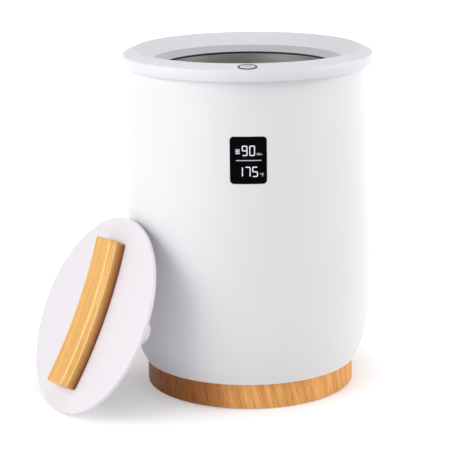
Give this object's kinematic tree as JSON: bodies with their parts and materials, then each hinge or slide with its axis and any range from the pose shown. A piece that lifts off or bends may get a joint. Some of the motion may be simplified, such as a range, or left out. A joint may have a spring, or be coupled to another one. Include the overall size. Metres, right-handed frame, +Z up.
{
  "type": "towel warmer bucket",
  "caption": "Round white towel warmer bucket with a wood-look foot, sloped rim, dark tub, black display window, rim button and a loose lid with a wooden handle leaning on it.",
  "frame": {"origin": "centre of the bucket's round foot, on the surface that it stands on", "axes": "+Z up along the bucket's axis, -Y towards the display and the button, +Y towards the cord inlet, +X to the right seen from the front"},
  "size_m": [0.4129, 0.357, 0.4133],
  "materials": {
    "white_plastic": "glossy white moulded plastic",
    "lid_plastic": "satin pale lavender-white moulded plastic",
    "dark_tub": "dark grey coated metal, satin",
    "wood_brown": "warm brown wood with fine upright grain, satin lacquer",
    "wood_honey": "honey-coloured wood, smooth satin lacquer",
    "window_black": "glossy black",
    "dark_trim": "glossy dark grey",
    "button_plastic": "satin pale grey-white",
    "black_plastic": "matte black moulded plastic",
    "black_rubber": "matte black rubber",
    "silicone_grey": "matte pale grey silicone",
    "heater_foil": "amber film over metal foil",
    "felt": "pale grey insulation felt",
    "foam": "pale foam",
    "bright_metal": "bare metal can",
    "shield_metal": "bare rolled sheet",
    "screw_steel": "zinc-plated steel",
    "insert_brass": "plain brass",
    "board_green": "green circuit board",
    "relay_blue": "blue moulded case",
    "wire_sleeve": "dark grey wire sleeve"
  },
  "bodies": {
    "bucket": {"outer_shell": "white_plastic", "rim_collar": "white_plastic", "collar_screws": "screw_steel", "inner_tub": "dark_tub", "tub_screws": "screw_steel", "tub_gasket": "silicone_grey", "heater_film": "heater_foil", "insulation_blanket": "felt", "temperature_sensor": "bright_metal", "bottom_heater": "heater_foil", "thermostat": "bright_metal", "thermal_fuse": "bright_metal", "heat_shield": "shield_metal", "insulation_pad": "felt", "base_ring": "wood_brown", "base_plate": "black_plastic", "foot_ring": "black_rubber", "base_screws": "screw_steel", "cord_gland": "black_plastic", "gland_nut": "black_plastic", "power_board": "board_green", "board_screws": "screw_steel", "transformer": "black_plastic", "relay": "relay_blue", "terminal_block": "board_green", "capacitor": "bright_metal", "display_window": "window_black", "display_bezel": "black_plastic", "led_module": "black_plastic", "display_board": "board_green", "display_screws": "screw_steel", "button_trim_ring": "dark_trim", "tact_switch": "black_plastic", "switch_board": "board_green", "switch_screws": "screw_steel", "display_harness": "wire_sleeve", "switch_harness": "wire_sleeve"},
    "button": {"power_button": "button_plastic", "switch_plunger": "black_plastic"},
    "lid": {"lid_cover": "lid_plastic", "lid_liner": "lid_plastic", "lid_insulation": "foam", "lid_seal": "silicone_grey", "lid_handle": "wood_honey", "handle_inserts": "insert_brass", "handle_washers": "screw_steel", "handle_screws": "screw_steel", "liner_screws": "screw_steel"}
  },
  "joints": [
    {"name": "power_button_press", "type": "slide", "parent": "bucket", "child": "button", "axis": [0, 0.4143, -0.9101], "range_m": [0, 0.001], "stiffness_N_per_m": 1500},
    {"name": "lid_lift", "type": "slide", "parent": "bucket", "child": "lid", "axis": [-0.305, -0.1547, 0.9397], "range_m": [0, 0.45]}
  ]
}
